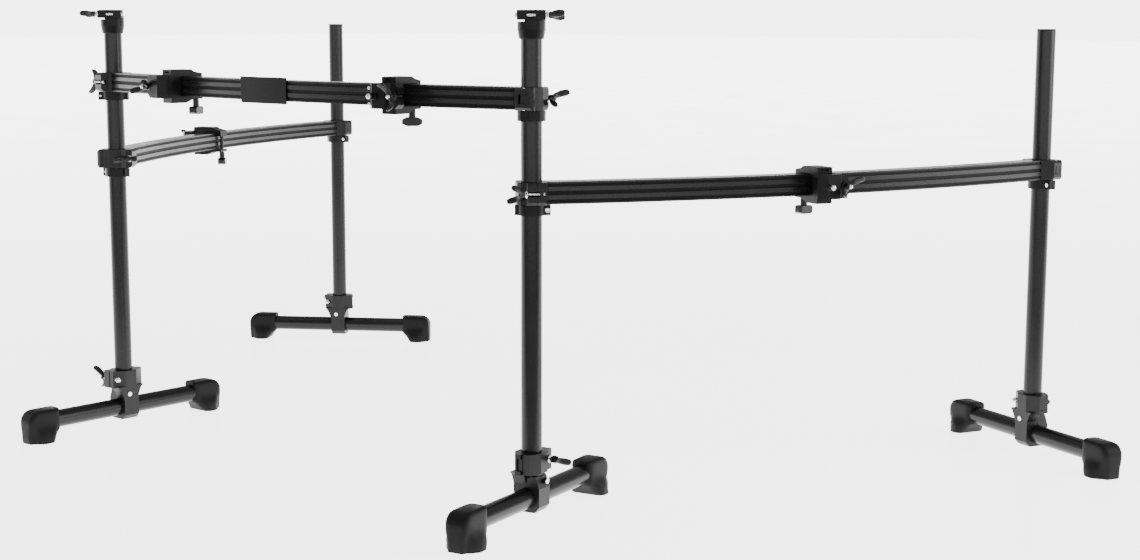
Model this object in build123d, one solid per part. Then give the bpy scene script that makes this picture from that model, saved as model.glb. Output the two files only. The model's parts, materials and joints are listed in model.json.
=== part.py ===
from build123d import *
import math
import os

# Three-sided drum rack: four round posts, three bowed rails, four T-legs and the clamps that join them.
# Frame: +X runs along the front rail from the left post to the right post, +Y towards the player,
# +Z up. The origin is on the floor. All lengths are millimetres.

# ---- driving dimensions ----
TUBE_R = 19.05              # 1.5 inch posts and leg tubes
TUBE_WALL = 2.0
RUN = 0.08                  # radial running clearance of a clamp that turns or slides on a post
GAP = 0.4                   # gap between parts that face each other without touching
OVER = 1.0                  # how far a cut runs past the faces it cuts through
BOLT_R = 4.0                # every wing screw
BOLT_HOLE_R = 4.3
BOLT_SLOT = 4.6             # half the width of an open slot for a bolt

POST_SPACING = 1208.0       # front posts, centre to centre
WING_LENGTH = 1169.0        # front post to back post, centre to centre
WING_SPLAY = 22.75          # degrees that each side opens outwards
FRONT_BOW = 65.6            # how far the front rail bows out of its chord
SIDE_BOW = 71.0             # the same for the side rails
MIDDLE_X, MIDDLE_Y = -6.752, -495.099    # midpoint of the front posts; the origin is below the rack's middle

POST_BOTTOM = 84.0
POST_TOP = 880.0
CAP_HEIGHT = 3.0
CAP_BEVEL = 1.2
CAP_PLUG = 14.0             # how far the cap reaches into the post
FRONT_RAIL_Z = 764.0
SIDE_RAIL_Z = 597.0
LEG_AXIS_Z = 43.0

RAIL_HEIGHT = 40.0
RAIL_DEPTH = 36.0
RAIL_WALL = 3.4
RAIL_END = 26.3             # from a post's axis to the end of the rail
GROOVE_DEPTH = 2.0
FLUTES = [(-17.0, -11.5), (-3.5, 3.5), (11.5, 17.0)]     # heights of the grooves on both faces

LOCK_HEIGHT = 18.0          # memory lock collar
LOCK_DROP = 30.5            # from a rail's centre line down to its collar's centre
LOCK_ANGLES = {             # direction of each collar's screw side
    ("front", "front_left"): 222, ("front", "front_right"): 105, ("right", "front_right"): 42,
    ("right", "back_right"): -20, ("left", "back_left"): 10, ("left", "front_left"): 190,
}

LEG_HALF_LENGTH = 258.0     # to the outer face of each foot
FOOT_LENGTH = 76.0
FOOT_HALF, FOOT_TOP = 36.5, 70.0
FOOT_WALL = 18.0            # from the end of the leg tube to the foot's outer face
LEG_ANGLES = {"front_left": 89.8, "front_right": -79.6, "back_right": -25.2, "back_left": 33.4}
LEG_WING_TURNS = {"front_left": 60, "front_right": -25, "back_right": 20, "back_left": 20}

PIPE_R = 11.15              # bore of every accessory and top clamp: a 7/8 inch tube and its grip
ACCESSORY_PIPE_Y = -56.0    # from the rail's centre line out to the accessory clamp's bore

FRONT_ACCESSORIES = {"left": -298.0, "right": 331.5}     # X along the front rail
SIDE_ACCESSORIES = {"right": 551.0, "left": 575.0}       # along each side's chord, from the front post
BADGE_X, BADGE_LENGTH, BADGE_HEIGHT, BADGE_THICKNESS = -14.0, 132.0, 51.0, 2.5

os.makedirs("parts", exist_ok=True)


# ---- small helpers ----
def prism(points, low, high):
    """A polygon in X and Y, extruded from height low to height high."""
    return Pos(0, 0, low) * extrude(make_face(Polyline(*points, close=True)), high - low)


def prism_x(points, low, high):
    """A polygon in Y and Z, extruded along X."""
    return Pos(low, 0, 0) * extrude(Plane.YZ * make_face(Polyline(*points, close=True)), high - low)


def prism_y(points, low, high):
    """A polygon in X and Z, extruded along Y."""
    return Pos(0, high, 0) * extrude(Plane.XZ * make_face(Polyline(*points, close=True)), high - low)


def box(x0, x1, y0, y1, z0, z1):
    return Pos((x0 + x1) / 2, (y0 + y1) / 2, (z0 + z1) / 2) * Box(x1 - x0, y1 - y0, z1 - z0)


def rod(radius, x, y, z0, z1):
    """An upright round bar."""
    return Pos(x, y, (z0 + z1) / 2) * Cylinder(radius, z1 - z0)


def rod_x(radius, x0, x1, y, z):
    return Pos((x0 + x1) / 2, y, z) * Rot(0, 90, 0) * Cylinder(radius, x1 - x0)


def rod_y(radius, x, y0, y1, z):
    return Pos(x, (y0 + y1) / 2, z) * Rot(90, 0, 0) * Cylinder(radius, y1 - y0)


def octagon(half_width, half_height, cut):
    """A rectangle about the origin with its four corners cut at 45 degrees."""
    w, h = half_width, half_height
    return [(-w + cut, -h), (w - cut, -h), (w, -h + cut), (w, h - cut),
            (w - cut, h), (-w + cut, h), (-w, h - cut), (-w, -h + cut)]


def save(name, shapes):
    """One sub-part to parts/name.step; a list is a group of separate solids."""
    if isinstance(shapes, list):
        solids = [solid for shape in shapes for solid in shape.solids()]
    else:
        solids = shapes.solids()
    export_step(Compound(children=solids) if len(solids) > 1 else solids[0], f"parts/{name}.step")


# ---- layout ----
class Span:
    """The arc of one rail between two post axes, bowed outwards."""

    def __init__(self, start, end, bow, height):
        (x0, y0), (x1, y1) = start, end
        half = math.hypot(x1 - x0, y1 - y0) / 2
        self.radius = (half ** 2 + bow ** 2) / (2 * bow)
        self.half_angle = math.degrees(math.asin(half / self.radius))
        # going from start to end, the outside lies on the right hand
        out = (y1 - y0) / (2 * half), (x0 - x1) / (2 * half)
        inset = self.radius - bow
        self.centre = (x0 + x1) / 2 - out[0] * inset, (y0 + y1) / 2 - out[1] * inset
        self.facing = math.degrees(math.atan2(out[1], out[0]))
        self.half, self.height = half, height

    def frame(self, angle, turn):
        """A place on the arc at angle from its middle, with local X turned away from the radius."""
        a = math.radians(self.facing + angle)
        x = self.centre[0] + self.radius * math.cos(a)
        y = self.centre[1] + self.radius * math.sin(a)
        return Location((x, y, self.height), (0, 0, self.facing + angle + turn))

    def start_clamp(self):
        """Local X runs from the first post into the rail."""
        return self.frame(-self.half_angle, 90)

    def end_clamp(self):
        return self.frame(self.half_angle, -90)

    def station(self, along):
        """A place on the rail, given along its chord from the start; local X follows the rail and Y faces in."""
        return self.frame(math.degrees(math.asin((along - self.half) / self.radius)), 90)


REACH_X = WING_LENGTH * math.sin(math.radians(WING_SPLAY))
REACH_Y = WING_LENGTH * math.cos(math.radians(WING_SPLAY))
POSTS = {
    "front_left": (MIDDLE_X - POST_SPACING / 2, MIDDLE_Y),
    "front_right": (MIDDLE_X + POST_SPACING / 2, MIDDLE_Y),
    "back_right": (MIDDLE_X + POST_SPACING / 2 + REACH_X, MIDDLE_Y + REACH_Y),
    "back_left": (MIDDLE_X - POST_SPACING / 2 - REACH_X, MIDDLE_Y + REACH_Y),
}
FRONT = Span(POSTS["front_left"], POSTS["front_right"], FRONT_BOW, FRONT_RAIL_Z)
RIGHT = Span(POSTS["front_right"], POSTS["back_right"], SIDE_BOW, SIDE_RAIL_Z)
LEFT = Span(POSTS["back_left"], POSTS["front_left"], SIDE_BOW, SIDE_RAIL_Z)


# ---- rails, posts and caps ----
def rail(span):
    """A hollow fluted extrusion, bent to the span's arc: two ribs stand between three flutes on each face."""
    z, y, d = RAIL_HEIGHT / 2, RAIL_DEPTH / 2, GROOVE_DEPTH
    outer = [(y, -z)]
    for low, high in FLUTES:
        outer += [(y, low), (y - d, low), (y - d, high), (y, high)]
    outer += [(y, z)]
    profile = outer + [(-a, -b) for a, b in outer]
    section = make_face(Polyline(*profile, close=True))
    section -= Rectangle(RAIL_DEPTH - 2 * RAIL_WALL, RAIL_HEIGHT - 2 * RAIL_WALL)
    angle = span.half_angle - math.degrees(RAIL_END / span.radius)
    bar = revolve(Plane.XZ * Pos(span.radius, 0) * section, Axis.Z, 2 * angle)
    place = Location((*span.centre, span.height), (0, 0, span.facing - angle))
    return place * bar


def tube(length):
    """An upright tube standing on the origin."""
    return rod(TUBE_R, 0, 0, 0, length) - rod(TUBE_R - TUBE_WALL, 0, 0, -OVER, length + OVER)


def post(name):
    x, y = POSTS[name]
    return Pos(x, y, POST_BOTTOM) * tube(POST_TOP - POST_BOTTOM)


def post_cap(name):
    """A plastic plug with a thin round flange on top."""
    x, y = POSTS[name]
    flange = rod(TUBE_R, 0, 0, 0, CAP_HEIGHT)
    flange = chamfer(flange.edges().group_by(Axis.Z)[-1], CAP_BEVEL)
    inner = TUBE_R - TUBE_WALL
    plug = rod(inner, 0, 0, -CAP_PLUG, 0) - rod(inner - TUBE_WALL, 0, 0, -CAP_PLUG - OVER, -TUBE_WALL)
    return Pos(x, y, POST_TOP) * (flange + plug)


# ---- rail end clamp: local X runs into the rail, the bolt is on -Y and the hinge on +Y ----
CLAMP_HALF = RAIL_HEIGHT / 2
CLAMP_BEVEL = 5.0
CLAMP_FACE = 25.9           # where the body meets the rail's end
SHOULDER_X, CORE_HALF = 19.0, 26.0
SPIGOT_END = 48.0           # how far its tongue reaches into the rail
SPIGOT_PLAY = 0.5
BOLT_Y, EAR_Y, SPLIT_X = -32.0, 38.5, 3.0
BODY_EAR_X = 21.0           # the thickness of the bolt ear at its root
PIN_X, PIN_Y, PIN_R, PIN_HOLE_R = -3.0, 32.5, 2.8, 2.85
HINGE_X = -9.0              # where the hinge arms end
TAB_HALF = 8.0
NUT_X, NUT_R, NUT_HOLE_R, NUT_HALF = 11.0, 5.0, 5.1, 10.0
JAW_FACE = -14.5            # the ear's face under the wing screw
BORE_R = TUBE_R + RUN


def clamp_body():
    """The half that is fixed to the rail: a tongue for the rail, a forked bolt ear and two hinge arms."""
    h, w = CLAMP_HALF, CORE_HALF
    core = prism([(CLAMP_FACE, -18), (CLAMP_FACE, 18), (SHOULDER_X, w), (SPLIT_X, w), (SPLIT_X, -w),
                  (SHOULDER_X, -w)], -h, h)
    ear = prism([(SPLIT_X, -w), (BODY_EAR_X, -w), (17, -EAR_Y), (SPLIT_X, -EAR_Y)], -h, h)
    arms = prism([(SHOULDER_X, w), (10, EAR_Y), (HINGE_X, EAR_Y), (HINGE_X, w + 1), (SPLIT_X, w + 1),
                  (SPLIT_X, w)], -h, h)
    body = core + ear + arms
    body -= rod(BORE_R, 0, 0, -h - OVER, h + OVER)
    body -= box(HINGE_X - OVER, 5.5, w + 0.2, EAR_Y + OVER, -TAB_HALF - GAP, TAB_HALF + GAP)
    body -= box(SPLIT_X - OVER, BODY_EAR_X + OVER, -EAR_Y - OVER, BOLT_Y + BOLT_SLOT, -BOLT_SLOT, BOLT_SLOT)
    body -= rod(NUT_HOLE_R, NUT_X, BOLT_Y, -NUT_HALF - 0.2, NUT_HALF + 0.2)
    body -= rod(PIN_HOLE_R, PIN_X, PIN_Y, -h - OVER, h + OVER)
    body = body & prism_x(octagon(EAR_Y, h, CLAMP_BEVEL), -10, CLAMP_FACE)
    y, z = RAIL_DEPTH / 2 - RAIL_WALL - SPIGOT_PLAY, RAIL_HEIGHT / 2 - RAIL_WALL - SPIGOT_PLAY
    return body + box(CLAMP_FACE - OVER, SPIGOT_END, -y, y, -z, z)


def clamp_jaw():
    """The hinged half: a faceted ring with a forked ear and the hinge tab between the body's arms."""
    h, w, x = CLAMP_HALF, CORE_HALF, SPLIT_X - 2 * GAP
    ring = prism([(x, -EAR_Y), (JAW_FACE, -EAR_Y), (JAW_FACE, -24.5), (-23, -17), (-28, -9), (-28, 9),
                  (-24, 18), (-20, w), (x, w)], -h, h)
    knuckle = prism([(-9.5, w - 1), (-9.5, EAR_Y), (-17, EAR_Y), (-22, 32), (-21, w - 1)], -h, h)
    tab = prism([(-10, w - 1), (-10, EAR_Y - 0.5), (1, EAR_Y - 0.5), (5, 34), (5, 28), (x, w + 0.6),
                 (x, w - 1)], -TAB_HALF, TAB_HALF)
    jaw = ring + knuckle + tab
    jaw -= rod(BORE_R, 0, 0, -h - OVER, h + OVER)
    jaw -= box(JAW_FACE - OVER, SPLIT_X, -EAR_Y - OVER, BOLT_Y + BOLT_SLOT, -BOLT_SLOT, BOLT_SLOT)
    jaw -= rod(PIN_HOLE_R, PIN_X, PIN_Y, -h - OVER, h + OVER)
    return jaw & prism_x(octagon(EAR_Y, h, CLAMP_BEVEL), -30, 6)


def clamp_pin():
    return rod(PIN_R, PIN_X, PIN_Y, OVER - CLAMP_HALF, CLAMP_HALF - OVER)


def clamp_nut():
    """The barrel nut that the wing screw turns in."""
    return rod(NUT_R, NUT_X, BOLT_Y, -NUT_HALF, NUT_HALF) - rod_x(BOLT_R + 0.05, NUT_X - 8, NUT_X + 8, BOLT_Y, 0)


# ---- wing screw: its axis is local Z, the clamp's ear ends at the origin and the head is above it ----
WING_THICKNESS = 5.6
HUB_R, HUB_BOTTOM, HUB_TOP = 6.3, 5.0, 17.0
WASHER_R, WASHER_HEIGHT = 7.4, 4.5
BLADE = [(4, 6), (9, 7.6), (17, 12.2), (24, 19), (27, 26), (26, 32), (23, 34), (19, 32), (14, 25),
         (9, 18.5), (4, 16.5)]
BLADE_HOLE_X, BLADE_HOLE_Z, BLADE_HOLE_R = 22.0, 26.5, 1.8


def wing_screw(shank, turn):
    """Shank, conical washer face, hub and two swept blades; shank is its length below the ear's face."""
    screw = rod(BOLT_R, 0, 0, -shank, OVER) + rod(HUB_R, 0, 0, HUB_BOTTOM, HUB_TOP)
    screw += Pos(0, 0, HUB_BOTTOM - WASHER_HEIGHT / 2) * Cone(WASHER_R, HUB_R - OVER, WASHER_HEIGHT)
    for side in (1, -1):
        blade = prism_y([(side * r, z) for r, z in BLADE], -WING_THICKNESS / 2, WING_THICKNESS / 2)
        screw += blade - rod_y(BLADE_HOLE_R, side * BLADE_HOLE_X, -WING_THICKNESS, WING_THICKNESS, BLADE_HOLE_Z)
    return Rot(0, 0, turn) * screw


def wing_on_clamp(turn):
    """The wing screw of a rail end clamp, with its head on the jaw's side."""
    return Pos(JAW_FACE, BOLT_Y, 0) * Rot(0, -90, 0) * wing_screw(32, turn)


# ---- memory lock collar: two half rings drawn together by a cap screw, hinged opposite ----
LOCK_R, LUG_HALF = 25.5, 8.0
LOCK_SCREW_Y, LOCK_SCREW_R, LOCK_HEAD_R = -29.0, 2.5, 4.4


def memory_lock():
    """Local -Y is the side of the screw."""
    h, y, inner, r = LOCK_HEIGHT / 2, LOCK_SCREW_Y, LOCK_R - 5, LOCK_SCREW_R
    lug = box(-LUG_HALF, LUG_HALF, -34, -inner, -h, h)
    hinge = box(OVER - LUG_HALF, LUG_HALF - OVER, inner, 30, -h, h)
    ring = rod(LOCK_R, 0, 0, -h, h) + lug + hinge
    ring -= rod(BORE_R, 0, 0, -h - OVER, h + OVER)
    ring -= rod_x(r + 0.1, -LUG_HALF - OVER, LUG_HALF + OVER, y, 0)
    ring -= rod_x(LOCK_HEAD_R + 0.2, -LUG_HALF - OVER, -LUG_HALF / 2, y, 0)
    halves = [ring & box(0.5, 40, -40, 40, -h, h), ring & box(-40, -0.5, -40, 40, -h, h)]
    shank = rod_x(r, OVER - LUG_HALF, LUG_HALF - 0.5, y, 0)
    return halves + [shank + rod_x(LOCK_HEAD_R, -LUG_HALF - 0.5, -LUG_HALF / 2 - 0.5, y, 0)]


# ---- post top clamp: a sleeve on the post whose split upper ring grips a smaller tube ----
TOP_SLEEVE_BOTTOM, TOP_SLEEVE_TOP = 868.0, 919.0
TOP_BOLT_Y, TOP_BOLT_Z = -22.0, 910.0
TOP_SPLIT_Z, TOP_CUT = 901.5, 3.0
TOP_EAR_X = 25.5
RECESS_R = 7.5              # the round recess in front of the bolt
TOP_CLAMP_ANGLE = 40.0      # direction of both clamps' bolts


def top_clamp():
    low, high, split, ear = TOP_SLEEVE_BOTTOM, TOP_SLEEVE_TOP, TOP_SPLIT_Z, TOP_EAR_X
    outline = [(0, low), (21.5, low), (22.5, low + 2), (25, 885), (25, 900), (23, high - 1), (22, high), (0, high)]
    body = revolve(Plane.XZ * make_face(Polyline(*outline, close=True)), Axis.Z)
    body += box(-ear, ear, -26, -9, split, high) & rod(31, 0, 0, split, high)
    body -= rod(TUBE_R + 0.02, 0, 0, low - OVER, POST_TOP)
    body -= rod(PIPE_R, 0, 0, POST_TOP - OVER, high + OVER)
    # the saw cut that frees the upper ring, and the split that lets it close
    body -= box(-40, -12, -40, 40, split - TOP_CUT, split)
    body -= box(-21, -16, -40, 0, split - TOP_CUT, high + OVER)
    body -= rod_x(BOLT_HOLE_R, -40, 40, TOP_BOLT_Y, TOP_BOLT_Z)
    body -= rod_y(RECESS_R, 0, -40, TOP_BOLT_Y - OVER, TOP_BOLT_Z)
    return body


def top_wing(side, turn):
    """The wing screw, on the +X side of the clamp or on its -X side."""
    ear = Pos(side * (TOP_EAR_X + GAP), TOP_BOLT_Y, TOP_BOLT_Z)
    return ear * Rot(0, side * 90, 0) * wing_screw(55, turn)


# ---- T-leg: local X runs along the leg tube; the post axis is the origin, the jaws are on +Y ----
LEG_CLAMP_TOP, LEG_RING_BOTTOM, LEG_CLAMP_BOTTOM = 127.0, 89.0, 17.0
LEG_BOLT_X, LEG_BOLT_Z = -31.0, 108.0      # the ring's middle height as well
LEG_RING_HALF, LEG_RING_BEVEL, RING_FACE = 19.0, 4.0, 27.0
LEG_BLOCK_HALF = 19.0
LEG_BORE_R = TUBE_R + 0.05
LEG_TAB_BOTTOM, LEG_TAB_TOP = 97.0, 119.0
LEG_JAW_FACE = 19.0         # the ear's face under the wing screw
CROSS_SCREW_X, CROSS_SCREW_Z, CROSS_R, CROSS_HEAD_R = -5.0, 74.0, 3.0, 5.5


def leg_tube():
    length = 2 * (LEG_HALF_LENGTH - FOOT_WALL)
    return Pos(0, 0, LEG_AXIS_Z) * Rot(0, 90, 0) * Pos(0, 0, -length / 2) * tube(length)


def leg_ring(sign):
    """Half of the faceted ring round the post, on the side that sign gives."""
    y = RING_FACE
    outline = [(-39, GAP), (-39, LEG_JAW_FACE), (-23.4, LEG_JAW_FACE), (-12, y), (12, y), (26, 19), (34, 14),
               (34, GAP)]
    if sign < 0:
        outline = [(-38, GAP), (-38, 13), (-24, 21), (-14, y), (14, y), (26, 20), (39, 12), (39, GAP)]
    half = prism([(x, sign * y) for x, y in outline], LEG_RING_BOTTOM, LEG_CLAMP_TOP)
    return half - rod(BORE_R, 0, 0, LEG_RING_BOTTOM - OVER, LEG_CLAMP_TOP + OVER)


def leg_ring_envelope():
    """The bevelled outline that both ring halves share."""
    outline = octagon(30, LEG_RING_HALF, LEG_RING_BEVEL)
    return prism_x([(y, z + LEG_BOLT_Z) for y, z in outline], -40, 40)


def leg_body():
    """The fixed half: a ring half above, narrowing to a block that wraps the back of the leg tube."""
    y, w, low, wall = RING_FACE, LEG_BLOCK_HALF, LEG_CLAMP_BOTTOM, -GAP
    waist = [(-38, 98), (-25, 78), (-w, 60), (-w, low), (w, low), (w, 70), (26, 86), (39, 98)]
    lower = prism_y(waist, -y, wall)
    lower = lower & prism_x([(wall, 92), (wall, low), (-17, low), (-y, 27), (-y, 92)], -39, 39)
    lower -= rod(BORE_R, 0, 0, POST_BOTTOM - 2, LEG_CLAMP_TOP)
    body = lower + leg_ring(-1)
    body -= rod_x(LEG_BORE_R, -45, 45, 0, LEG_AXIS_Z)
    body -= rod_y(BOLT_HOLE_R, LEG_BOLT_X, -30, 0, LEG_BOLT_Z)
    body -= rod_y(CROSS_R + 0.1, CROSS_SCREW_X, -30, 0, CROSS_SCREW_Z)
    body -= rod_y(CROSS_HEAD_R + 0.5, CROSS_SCREW_X, -30, -24, CROSS_SCREW_Z)
    body -= box(27, 40, -8, 0, LEG_TAB_BOTTOM - GAP, LEG_TAB_TOP + GAP)
    return body & (leg_ring_envelope() + box(-40, 40, -30, 0, 10, 94))


def leg_jaw():
    """The hinged ring half, with the tab that sits in the body's slot."""
    jaw = leg_ring(1) + box(27.4, 36, -7.4, OVER, LEG_TAB_BOTTOM, LEG_TAB_TOP)
    jaw -= rod(BORE_R, 0, 0, LEG_RING_BOTTOM - OVER, LEG_CLAMP_TOP + OVER)
    jaw -= rod_y(BOLT_HOLE_R, LEG_BOLT_X, -OVER, 40, LEG_BOLT_Z)
    return jaw & leg_ring_envelope()


def leg_cap():
    """The lower jaw that closes round the leg tube."""
    y, w, low, high = RING_FACE, LEG_BLOCK_HALF, LEG_CLAMP_BOTTOM, POST_BOTTOM
    outline = [(GAP, low), (17, low), (y, 28), (y, 62), (19, high), (GAP, high)]
    cap = prism_x(outline, -w, w) - rod_x(LEG_BORE_R, -45, 45, 0, LEG_AXIS_Z)
    cap -= rod(BORE_R + OVER, 0, 0, high - 2, LEG_CLAMP_TOP)
    return cap - rod_y(CROSS_R + 0.1, CROSS_SCREW_X, -OVER, 40, CROSS_SCREW_Z)


def cross_screw():
    """The screw that draws the leg cap and the body together, with a head at each end."""
    x, z, r = CROSS_SCREW_X, CROSS_SCREW_Z, CROSS_HEAD_R
    return rod_y(CROSS_R, x, -24, 29, z) + rod_y(r, x, -27, -24, z) + rod_y(r, x, 24.5, 29, z)


def leg_clamp():
    return [leg_body(), leg_jaw(), leg_cap(), cross_screw()]


def leg_wing(turn):
    return Pos(LEG_BOLT_X, LEG_JAW_FACE, LEG_BOLT_Z) * Rot(-90, 0, 0) * wing_screw(46, turn)


def foot():
    """A rubber foot: a hood over the tube's end that curves down to a flared, grooved sole."""
    x0 = LEG_HALF_LENGTH - FOOT_LENGTH
    x1, top = LEG_HALF_LENGTH, FOOT_TOP
    side = Polyline((x0, top), (x0, 24), (x0 + 9, 18), (x0 + 15, 1.5), (x0 + 20, 0), (x1 - 6, 0), (x1, 5), (x1, 44))
    hood = make_face(side + RadiusArc((x1, 44), (x1 - 28, top), -29) + Line((x1 - 28, top), (x0, top)))
    body = Pos(0, FOOT_HALF, 0) * extrude(Plane.XZ * hood, 2 * FOOT_HALF)
    right = [(FOOT_HALF - 3.5, 0), (FOOT_HALF, 5), (FOOT_HALF, 16), (28, 31), (25, 44), (23, top - 8), (16, top)]
    body = body & prism_x(right + [(-y, z) for y, z in reversed(right)], x0, x1)
    return body - rod_x(LEG_BORE_R, x0 - OVER, x1 - FOOT_WALL + 0.5, 0, LEG_AXIS_Z)


# ---- accessory clamp: local X follows the rail, -Y faces out, the pipe stands upright in front ----
ACCESSORY_HALF = 16.4
HOOK_TOP, HOOK_INNER_Y = 34.0, 31.0        # the bracket's height above the rail's middle, its inner side
ROD_Y, ROD_R = 25.0, 4.0
PIPE_CLAMP_HALF, PIPE_CLAMP_BEVEL, PIPE_CLAMP_X = 23.0, 7.0, 38.0
PIPE_BOLT_X = -30.0
ACCESSORY_FACE = -65.0      # the ear's face under the wing screw
SCREW_TOP, KNOB_TOP, KNOB_BOTTOM, KNOB_HALF = 11.0, -42.5, -58.5, 19.0
NECK_R, NECK_TOP = 6.5, -28.0


def accessory_body(flip):
    """The bracket that hooks over the rail and carries the back half of the pipe clamp."""
    y, z, top, inner = RAIL_DEPTH / 2 + GAP, RAIL_HEIGHT / 2 + GAP, HOOK_TOP, HOOK_INNER_Y
    hook = [(-43, top), (6, top), (12, 30), (inner, 26), (inner, 12), (y, 12), (y, z), (-y, z), (-y, -z),
            (inner, -z), (inner, -26.5), (8, -27), (-8, -top), (-43, -top)]
    body = prism_x(hook, -ACCESSORY_HALF, ACCESSORY_HALF)
    middle, half, left, far = ACCESSORY_PIPE_Y, PIPE_CLAMP_HALF, -PIPE_CLAMP_X, 28
    back = [(left, middle + GAP), (left, -47), (-18, -42), (18, -42), (far, -47), (far, middle + GAP)]
    body += prism(back, -half, half) & prism_y(octagon(PIPE_CLAMP_X, half, PIPE_CLAMP_BEVEL), -60, -40)
    body -= rod(PIPE_R, 0, middle, -40, 40)
    body -= rod(ROD_R + 0.06, 0, ROD_Y, -40, SCREW_TOP + 3)
    body -= box(left - OVER, PIPE_BOLT_X + BOLT_SLOT, -60, -41, -BOLT_SLOT, BOLT_SLOT)
    # weight-saving slot in the front face, above the pipe clamp
    body -= box(-9, 9, -44, -38, 27, 30)
    return body if flip > 0 else mirror(body, Plane.YZ)


def accessory_jaw(flip):
    """The front half of the pipe clamp."""
    middle, half, left, far, face = ACCESSORY_PIPE_Y, PIPE_CLAMP_HALF, -PIPE_CLAMP_X, 28, ACCESSORY_FACE
    outline = [(left, middle - GAP), (left, face), (-22.4, face), (-14, -75), (14, -75), (24, -67), (far, -62),
               (far, middle - GAP)]
    jaw = prism(outline, -half, half) & prism_y(octagon(PIPE_CLAMP_X, half, PIPE_CLAMP_BEVEL), -80, -50)
    jaw -= rod(PIPE_R, 0, middle, -40, 40)
    jaw -= box(left - OVER, PIPE_BOLT_X + BOLT_SLOT, -70, -50, -BOLT_SLOT, BOLT_SLOT)
    return jaw if flip > 0 else mirror(jaw, Plane.YZ)


def accessory_wing(flip, turn):
    """The wing screw, whose head faces out from the jaw."""
    return Pos(flip * PIPE_BOLT_X, ACCESSORY_FACE, 0) * Rot(90, 0, 0) * wing_screw(20, turn)


def thumb_screw(turn):
    """The upright screw on the inner side of the rail, with its oblong knob below."""
    w, low, high = KNOB_HALF, KNOB_BOTTOM, KNOB_TOP
    plan = octagon(w, 9, 4)
    side = [(-w, low + 4), (-10, low), (10, low), (w, low + 4), (w, high - 4), (10, high), (-10, high),
            (-w, high - 4)]
    knob = prism(plan, low, high) & prism_y(side, -10, 10)
    screw = rod(ROD_R, 0, 0, high - OVER, SCREW_TOP) + rod(NECK_R, 0, 0, high - OVER, NECK_TOP)
    return Pos(0, ROD_Y, 0) * Rot(0, 0, turn) * (knob + screw)


def badge_plate():
    """A blank plate bent to the front rail's outer face."""
    low = FRONT.radius + RAIL_DEPTH / 2 + 0.1
    section = Pos(low + BADGE_THICKNESS / 2, 0) * Rectangle(BADGE_THICKNESS, BADGE_HEIGHT)
    spread = math.degrees(BADGE_LENGTH / FRONT.radius)
    plate = revolve(Plane.XZ * section, Axis.Z, spread)
    middle = FRONT.facing + math.degrees(math.asin(BADGE_X / FRONT.radius))
    return Location((*FRONT.centre, FRONT.height), (0, 0, middle - spread / 2)) * plate


# ---- assembly ----
def build_posts():
    for name in POSTS:
        save(f"post_{name}", post(name))
    for name in ("back_left", "back_right"):
        save(f"post_cap_{name}", post_cap(name))
    clamps = []
    for name, side, wing_turn in (("front_left", -1, 88), ("front_right", 1, 75)):
        place = Location((*POSTS[name], 0), (0, 0, TOP_CLAMP_ANGLE))
        clamps.append(place * top_clamp())
        save(f"top_wing_{name}", place * top_wing(side, wing_turn))
    save("top_clamps", clamps)


def build_rail(side, span, names):
    """A rail with an end clamp, wing screw and memory lock at each of its two posts."""
    save(f"{side}_rail", rail(span))
    bodies, jaws = [], []
    for place, (post_name, turn) in zip((span.start_clamp(), span.end_clamp()), names):
        bodies += [place * clamp_body(), place * clamp_nut()]
        jaws += [place * clamp_jaw(), place * clamp_pin()]
        save(f"{side}_wing_{post_name}", place * wing_on_clamp(turn))
        low = Location((*POSTS[post_name], span.height - LOCK_DROP), (0, 0, LOCK_ANGLES[side, post_name] + 90))
        yield post_name, [low * piece for piece in memory_lock()]
    if side == "front":
        save("front_clamp_bodies", bodies)
        save("front_clamp_jaws", jaws)
    else:
        save(f"{side}_rail_clamps", bodies + jaws)


def build_rails():
    locks = dict(build_rail("front", FRONT, (("front_left", 5), ("front_right", 120))))
    save("front_memory_locks", [piece for lock in locks.values() for piece in lock])
    for side, span, names in (
        ("right", RIGHT, (("front_right", 130), ("back_right", 20))),
        ("left", LEFT, (("back_left", 30), ("front_left", 100))),
    ):
        for post_name, lock in build_rail(side, span, names):
            save(f"{side}_memory_lock_{post_name}", lock)


def build_legs():
    for name, angle in LEG_ANGLES.items():
        place = Location((*POSTS[name], 0), (0, 0, angle))
        save(f"leg_tube_{name}", place * leg_tube())
        save(f"leg_clamp_{name}", [place * piece for piece in leg_clamp()])
        save(f"leg_wing_{name}", place * leg_wing(LEG_WING_TURNS[name]))
        save(f"leg_feet_{name}", [place * foot(), place * Rot(0, 0, 180) * foot()])


def build_accessories():
    half = POST_SPACING / 2
    places = {
        "front_left": (FRONT.station(FRONT_ACCESSORIES["left"] + half), 1, 30, 120),
        "front_right": (FRONT.station(FRONT_ACCESSORIES["right"] + half), -1, 110, 40),
        "right": (RIGHT.station(SIDE_ACCESSORIES["right"]), -1, 45, 15),
        "left": (LEFT.station(WING_LENGTH - SIDE_ACCESSORIES["left"]), 1, 70, 20),
    }
    for name, (place, flip, wing_turn, knob_turn) in places.items():
        save(f"accessory_body_{name}", place * accessory_body(flip))
        save(f"accessory_jaw_{name}", place * accessory_jaw(flip))
        save(f"accessory_wing_{name}", place * accessory_wing(flip, wing_turn))
        save(f"accessory_knob_{name}", place * thumb_screw(knob_turn))


build_posts()
build_rails()
build_legs()
build_accessories()
save("badge_plate", badge_plate())
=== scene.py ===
import json
import math

import bmesh
import bpy
from mathutils import Matrix, Vector

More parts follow.
